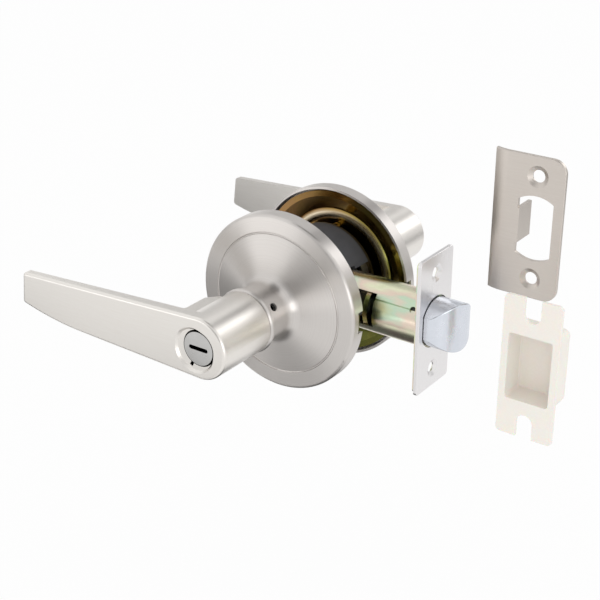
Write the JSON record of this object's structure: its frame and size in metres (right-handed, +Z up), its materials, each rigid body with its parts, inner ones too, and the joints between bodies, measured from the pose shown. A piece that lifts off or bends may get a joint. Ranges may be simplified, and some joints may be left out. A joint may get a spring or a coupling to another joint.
{
  "type": "bathroom lever lock",
  "caption": "Cylindrical privacy latch set with lever handles on round roses, coin slot and turn button, spring latch with faceplate, and its strike plate and dust box.",
  "frame": {"origin": "where the spindle axis crosses the latch axis, at the middle of the door's thickness", "axes": "+X along the latch towards the door's edge, +Y along the spindle from outside to inside, +Z up"},
  "size_m": [0.2132, 0.1538, 0.1064],
  "materials": {
    "satin_nickel": "satin brushed nickel plating",
    "satin_strike": "satin brushed nickel plating",
    "bright_chrome": "bright polished chrome plating",
    "yellow_zinc": "iridescent yellow zinc passivation on steel",
    "pale_zinc": "pale iridescent zinc passivation on steel",
    "dark_cover": "matte dark grey moulded cover",
    "ivory_plastic": "ivory moulded plastic",
    "plain_steel": "plain bright steel",
    "spring_steel": "oiled spring steel wire",
    "die_cast": "zinc alloy die casting, as cast",
    "brass_turn": "drawn brass strip"
  },
  "bodies": {
    "chassis": {"outside_rose": "satin_nickel", "inside_rose": "satin_nickel", "outside_mounting_plate": "yellow_zinc", "inside_mounting_plate": "yellow_zinc", "mounting_screws": "plain_steel", "outside_hub_nut": "pale_zinc", "inside_hub_nut": "pale_zinc", "chassis_drum": "yellow_zinc", "chassis_cover": "dark_cover", "outside_hub": "yellow_zinc", "inside_hub": "yellow_zinc", "outside_return_spring": "spring_steel", "inside_return_spring": "spring_steel", "retractor_springs": "spring_steel", "latch_tube": "pale_zinc", "tail_guide": "yellow_zinc", "latch_back_plate": "pale_zinc", "faceplate": "satin_nickel", "latch_spring": "spring_steel", "strike_plate": "satin_strike", "dust_box": "ivory_plastic"},
    "outside_lever": {"outside_lever": "satin_nickel", "outside_spindle": "pale_zinc", "outside_retaining_ring": "spring_steel", "outside_spring_driver": "yellow_zinc", "outside_lever_catch": "spring_steel"},
    "inside_lever": {"inside_lever": "satin_nickel", "inside_spindle": "pale_zinc", "inside_retaining_ring": "spring_steel", "inside_spring_driver": "yellow_zinc", "inside_lever_catch": "spring_steel"},
    "privacy_turn": {"coin_plug": "satin_nickel", "locking_bar": "brass_turn", "turn_button": "satin_nickel"},
    "retractor": {"retractor": "die_cast"},
    "latch_bolt": {"latch_bolt": "bright_chrome", "bolt_tail": "pale_zinc", "bolt_pin": "plain_steel"}
  },
  "joints": [
    {"name": "outside_lever_turn", "type": "hinge", "parent": "chassis", "child": "outside_lever", "pos_m": [0, 0, 0], "axis": [0, -1, 0], "range_deg": [0, 50], "stiffness_Nm_per_rad": 0.8, "springref_deg": -20.05, "deforming": ["outside_return_spring"]},
    {"name": "inside_lever_turn", "type": "hinge", "parent": "chassis", "child": "inside_lever", "pos_m": [0, 0, 0], "axis": [0, -1, 0], "range_deg": [0, 50], "stiffness_Nm_per_rad": 0.8, "springref_deg": -20.05, "deforming": ["inside_return_spring"]},
    {"name": "privacy_turn", "type": "hinge", "parent": "chassis", "child": "privacy_turn", "pos_m": [0, 0, 0], "axis": [0, 1, 0], "range_deg": [0, 90]},
    {"name": "retractor_slide", "type": "slide", "parent": "chassis", "child": "retractor", "axis": [-1, 0, 0], "range_m": [0, 0.0122], "deforming": ["retractor_springs"]},
    {"name": "bolt_slide", "type": "slide", "parent": "chassis", "child": "latch_bolt", "axis": [-1, 0, 0], "range_m": [0, 0.0122], "deforming": ["latch_spring"]}
  ],
  "couplings": [
    {"joint": "retractor_slide", "follows": "outside_lever_turn", "m_per_rad": 0.013751},
    {"joint": "bolt_slide", "follows": "outside_lever_turn", "m_per_rad": 0.013751}
  ]
}
